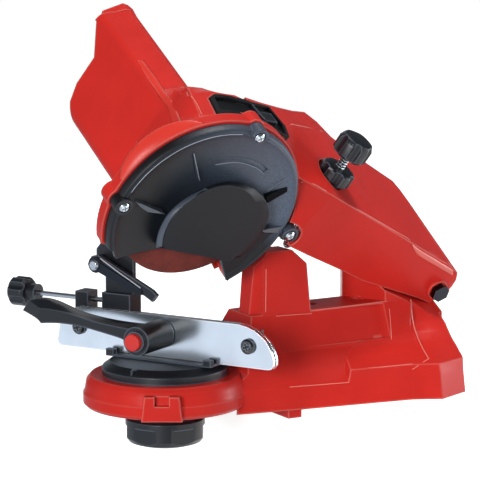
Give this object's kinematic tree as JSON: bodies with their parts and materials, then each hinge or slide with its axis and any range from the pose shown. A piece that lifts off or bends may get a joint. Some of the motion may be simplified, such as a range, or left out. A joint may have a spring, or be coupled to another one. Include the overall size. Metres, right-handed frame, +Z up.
{
  "type": "electric chainsaw sharpener",
  "caption": "Bench-mounted electric saw-chain grinder: tilted grinding head on a hinged arm over a swivelling chain vise with clamp lever, chain stop and depth stop",
  "frame": {"origin": "Midway between the two bench bolt holes, on the underside of the base.", "axes": "X to the rear (vise in front at -X), Y away from the operator, Z up."},
  "size_m": [0.2891, 0.2086, 0.2784],
  "materials": {
    "red": "moulded, satin gloss",
    "cap_red": "moulded",
    "black": "fine grain",
    "black_gloss": "satin",
    "zinc": "bright zinc plate",
    "steel": "machined",
    "dark_steel": "black oxide",
    "abrasive": "bonded ceramic grain",
    "rubber": "moulded"
  },
  "bodies": {
    "base": {"base_housing": "red", "lock_washer": "zinc"},
    "swivel": {"turntable": "black", "swivel_stud": "zinc", "vise_body": "black", "rear_jaw": "zinc", "jaw_screw_left": "dark_steel", "jaw_screw_right": "dark_steel", "clamp_bolt": "zinc"},
    "clamp_wheel": {"lock_knob": "black"},
    "jaw": {"front_jaw": "zinc"},
    "lever": {"clamp_lever": "black", "clamp_cap": "cap_red", "clamp_washer": "zinc"},
    "stop": {"stop_carriage": "black", "pawl_pin": "dark_steel"},
    "stop_drive": {"stop_screw": "zinc", "stop_knob": "black"},
    "finger": {"pawl": "black", "pawl_strip": "zinc"},
    "head": {"head_housing": "red", "guard": "black_gloss", "guard_cover": "black_gloss", "guard_screw_1": "zinc", "guard_screw_2": "zinc", "guard_screw_3": "zinc", "bearing_front": "steel", "bearing_rear": "steel", "motor_body": "steel", "cord_gland": "rubber", "switch_console": "black_gloss", "pivot_bolt": "dark_steel", "pivot_nut": "dark_steel"},
    "wheel": {"spindle": "steel", "grinding_disc": "abrasive", "flange_back": "steel", "flange_front": "steel", "spindle_nut": "steel"},
    "rocker": {"switch_rocker": "black_gloss"},
    "depth_rod": {"depth_screw": "zinc"},
    "depth_wheel": {"depth_knob": "black"},
    "depth_nut": {"depth_lock": "black"}
  },
  "joints": [
    {"name": "vise_swivel", "type": "hinge", "parent": "base", "child": "swivel", "pos_m": [-0.129, 0, 0.024], "axis": [0, 0, 1], "range_deg": [-65, 5]},
    {"name": "clamp_wheel_turn", "type": "hinge", "parent": "swivel", "child": "clamp_wheel", "pos_m": [-0.129, 0, 0], "axis": [0, 0, 1], "range_deg": [0, 180]},
    {"name": "arm_pivot", "type": "hinge", "parent": "base", "child": "head", "pos_m": [0.07379, -0.00273, 0.07074], "axis": [0, 0.866, 0.5], "range_deg": [0, 40]},
    {"name": "wheel_spin", "type": "hinge", "parent": "head", "child": "wheel", "pos_m": [-0.1275, -0.0425, 0.13961], "axis": [0, -0.866, -0.5], "continuous": true},
    {"name": "lever_turn", "type": "hinge", "parent": "swivel", "child": "lever", "pos_m": [-0.129, 0, 0.0505], "axis": [0.866, 0.5, 0], "range_deg": [0, 40]},
    {"name": "jaw_slide", "type": "slide", "parent": "swivel", "child": "jaw", "axis": [-0.866, -0.5, 0], "range_m": [0, 0.000601]},
    {"name": "stop_slide", "type": "slide", "parent": "swivel", "child": "stop", "axis": [0.5, -0.866, 0], "range_m": [-0.005, 0.004]},
    {"name": "stop_turn", "type": "hinge", "parent": "stop", "child": "stop_drive", "pos_m": [-0.14861, 0.05796, 0.065], "axis": [0.5, -0.866, 0], "range_deg": [-1801, 1441]},
    {"name": "pawl_lift", "type": "hinge", "parent": "stop", "child": "finger", "pos_m": [-0.15525, 0.04547, 0.091], "axis": [-0.866, -0.5, 0], "range_deg": [0, 25]},
    {"name": "depth_slide", "type": "slide", "parent": "head", "child": "depth_rod", "axis": [0.3289, -0.4722, 0.8179], "range_m": [0, 0.018]},
    {"name": "depth_turn", "type": "hinge", "parent": "depth_rod", "child": "depth_wheel", "pos_m": [-0.0451, -0.01132, 0.10161], "axis": [0.3289, -0.4722, 0.8179], "range_deg": [0, 6481]},
    {"name": "depth_nut_turn", "type": "hinge", "parent": "head", "child": "depth_nut", "pos_m": [-0.0451, -0.01132, 0.10161], "axis": [0.3289, -0.4722, 0.8179], "range_deg": [0, 360]},
    {"name": "switch_rock", "type": "hinge", "parent": "head", "child": "rocker", "pos_m": [-0.08588, -0.04827, 0.1916], "axis": [0, -0.866, -0.5], "range_deg": [-12, 0]}
  ],
  "couplings": [
    {"joint": "jaw_slide", "follows": "lever_turn", "m_per_rad": 0.00085944},
    {"joint": "stop_turn", "follows": "stop_slide", "rad_per_m": 6283.2},
    {"joint": "depth_turn", "follows": "depth_slide", "rad_per_m": 6283.2}
  ]
}
